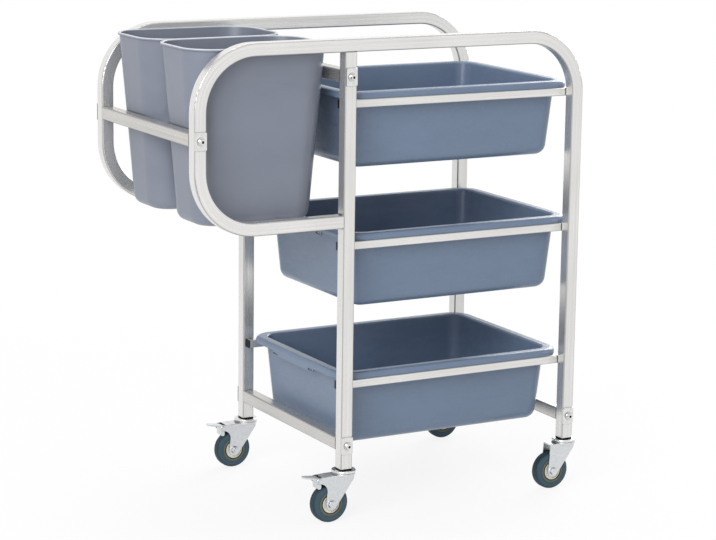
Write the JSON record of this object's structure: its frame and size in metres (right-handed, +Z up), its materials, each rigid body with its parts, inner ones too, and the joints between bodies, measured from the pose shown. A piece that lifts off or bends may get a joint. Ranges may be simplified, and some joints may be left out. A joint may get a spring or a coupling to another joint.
{
  "type": "serving trolley",
  "caption": "Wheeled catering trolley: bent square-tube frame with lift-out tubs on rails, waste bins in an end loop and swivel casters, some with foot brakes.",
  "frame": {"origin": "on the floor, under the middle of the trolley's bounding box", "axes": "+Z up; +X along the trolley, from the bins' end to the open end; +Y to the far side of the picture"},
  "size_m": [0.8536, 0.473, 0.93],
  "materials": {
    "frame_steel": "polished stainless steel",
    "tray_plastic": "satin slate blue-grey",
    "bin_plastic": "satin grey",
    "black_plastic": "matt black",
    "insert_steel": "bright turned",
    "chrome": "bright plated",
    "zinc_plate": "zinc plated sheet",
    "hub_plastic": "satin cream",
    "tyre_rubber": "matt blue-grey"
  },
  "bodies": {
    "frame": {"side_frame_near": "frame_steel", "left_leg_near": "frame_steel", "tray_rail_low_near": "frame_steel", "tray_rail_middle_near": "frame_steel", "tray_rail_top_near": "frame_steel", "side_frame_far": "frame_steel", "left_leg_far": "frame_steel", "tray_rail_low_far": "frame_steel", "tray_rail_middle_far": "frame_steel", "tray_rail_top_far": "frame_steel", "bin_end_crossbar": "frame_steel", "upper_crossbar": "frame_steel", "left_low_crossbar": "frame_steel", "right_low_crossbar": "frame_steel", "bin_support_bars": "frame_steel", "rail_end_plugs": "black_plastic", "leg_sockets": "black_plastic", "crossbar_inserts": "insert_steel", "saddle_washers": "chrome", "crossbar_bolts": "chrome", "swivel_balls": "insert_steel", "caster_stem_left_near": "insert_steel", "caster_collar_left_near": "chrome", "caster_stem_left_far": "insert_steel", "caster_collar_left_far": "chrome", "caster_stem_right_near": "insert_steel", "caster_collar_right_near": "chrome", "caster_stem_right_far": "insert_steel", "caster_collar_right_far": "chrome"},
    "fork_left_near": {"fork_left_near": "zinc_plate", "axle_bolt_left_near": "zinc_plate", "axle_sleeve_left_near": "insert_steel", "pedal_pin_left_near": "zinc_plate"},
    "wheel_left_near": {"hub_left_near": "hub_plastic", "tyre_left_near": "tyre_rubber"},
    "pedal_left_near": {"brake_pedal_left_near": "zinc_plate"},
    "fork_left_far": {"fork_left_far": "zinc_plate", "axle_bolt_left_far": "zinc_plate", "axle_sleeve_left_far": "insert_steel", "pedal_pin_left_far": "zinc_plate"},
    "wheel_left_far": {"hub_left_far": "hub_plastic", "tyre_left_far": "tyre_rubber"},
    "pedal_left_far": {"brake_pedal_left_far": "zinc_plate"},
    "fork_right_near": {"fork_right_near": "zinc_plate", "axle_bolt_right_near": "zinc_plate", "axle_sleeve_right_near": "insert_steel"},
    "wheel_right_near": {"hub_right_near": "hub_plastic", "tyre_right_near": "tyre_rubber"},
    "fork_right_far": {"fork_right_far": "zinc_plate", "axle_bolt_right_far": "zinc_plate", "axle_sleeve_right_far": "insert_steel"},
    "wheel_right_far": {"hub_right_far": "hub_plastic", "tyre_right_far": "tyre_rubber"},
    "tray_low": {"tray_low": "tray_plastic"},
    "tray_middle": {"tray_middle": "tray_plastic"},
    "tray_top": {"tray_top": "tray_plastic"},
    "bin_near": {"bin_near": "bin_plastic"},
    "bin_far": {"bin_far": "bin_plastic"}
  },
  "joints": [
    {"name": "swivel_left_near", "type": "hinge", "parent": "frame", "child": "fork_left_near", "pos_m": [-0.10525, -0.2125, 0.09], "axis": [0, 0, 1], "continuous": true},
    {"name": "roll_left_near", "type": "hinge", "parent": "fork_left_near", "child": "wheel_left_near", "pos_m": [-0.13725, -0.2125, 0.0375], "axis": [0, 1, 0], "continuous": true},
    {"name": "brake_left_near", "type": "hinge", "parent": "fork_left_near", "child": "pedal_left_near", "pos_m": [-0.16325, -0.2125, 0.0864], "axis": [0, -1, 0], "range_deg": [0, 25]},
    {"name": "swivel_left_far", "type": "hinge", "parent": "frame", "child": "fork_left_far", "pos_m": [-0.10525, 0.2125, 0.09], "axis": [0, 0, 1], "continuous": true},
    {"name": "roll_left_far", "type": "hinge", "parent": "fork_left_far", "child": "wheel_left_far", "pos_m": [-0.13725, 0.2125, 0.0375], "axis": [0, 1, 0], "continuous": true},
    {"name": "brake_left_far", "type": "hinge", "parent": "fork_left_far", "child": "pedal_left_far", "pos_m": [-0.16325, 0.2125, 0.0864], "axis": [0, -1, 0], "range_deg": [0, 25]},
    {"name": "swivel_right_near", "type": "hinge", "parent": "frame", "child": "fork_right_near", "pos_m": [0.40275, -0.2125, 0.09], "axis": [0, 0, 1], "continuous": true},
    {"name": "roll_right_near", "type": "hinge", "parent": "fork_right_near", "child": "wheel_right_near", "pos_m": [0.37075, -0.2125, 0.0375], "axis": [0, 1, 0], "continuous": true},
    {"name": "swivel_right_far", "type": "hinge", "parent": "frame", "child": "fork_right_far", "pos_m": [0.40275, 0.2125, 0.09], "axis": [0, 0, 1], "continuous": true},
    {"name": "roll_right_far", "type": "hinge", "parent": "fork_right_far", "child": "wheel_right_far", "pos_m": [0.37075, 0.2125, 0.0375], "axis": [0, 1, 0], "continuous": true},
    {"name": "tray_top_slide", "type": "slide", "parent": "frame", "child": "tray_top", "axis": [1, 0, 0], "range_m": [0, 0.53]},
    {"name": "tray_middle_slide", "type": "slide", "parent": "frame", "child": "tray_middle", "axis": [1, 0, 0], "range_m": [0, 0.53]},
    {"name": "tray_low_lift", "type": "slide", "parent": "frame", "child": "tray_low", "axis": [0, 0, 1], "range_m": [0, 0.1]},
    {"name": "bin_near_lift", "type": "slide", "parent": "frame", "child": "bin_near", "axis": [0, 0, 1], "range_m": [0, 0.35]},
    {"name": "bin_far_lift", "type": "slide", "parent": "frame", "child": "bin_far", "axis": [0, 0, 1], "range_m": [0, 0.35]}
  ]
}
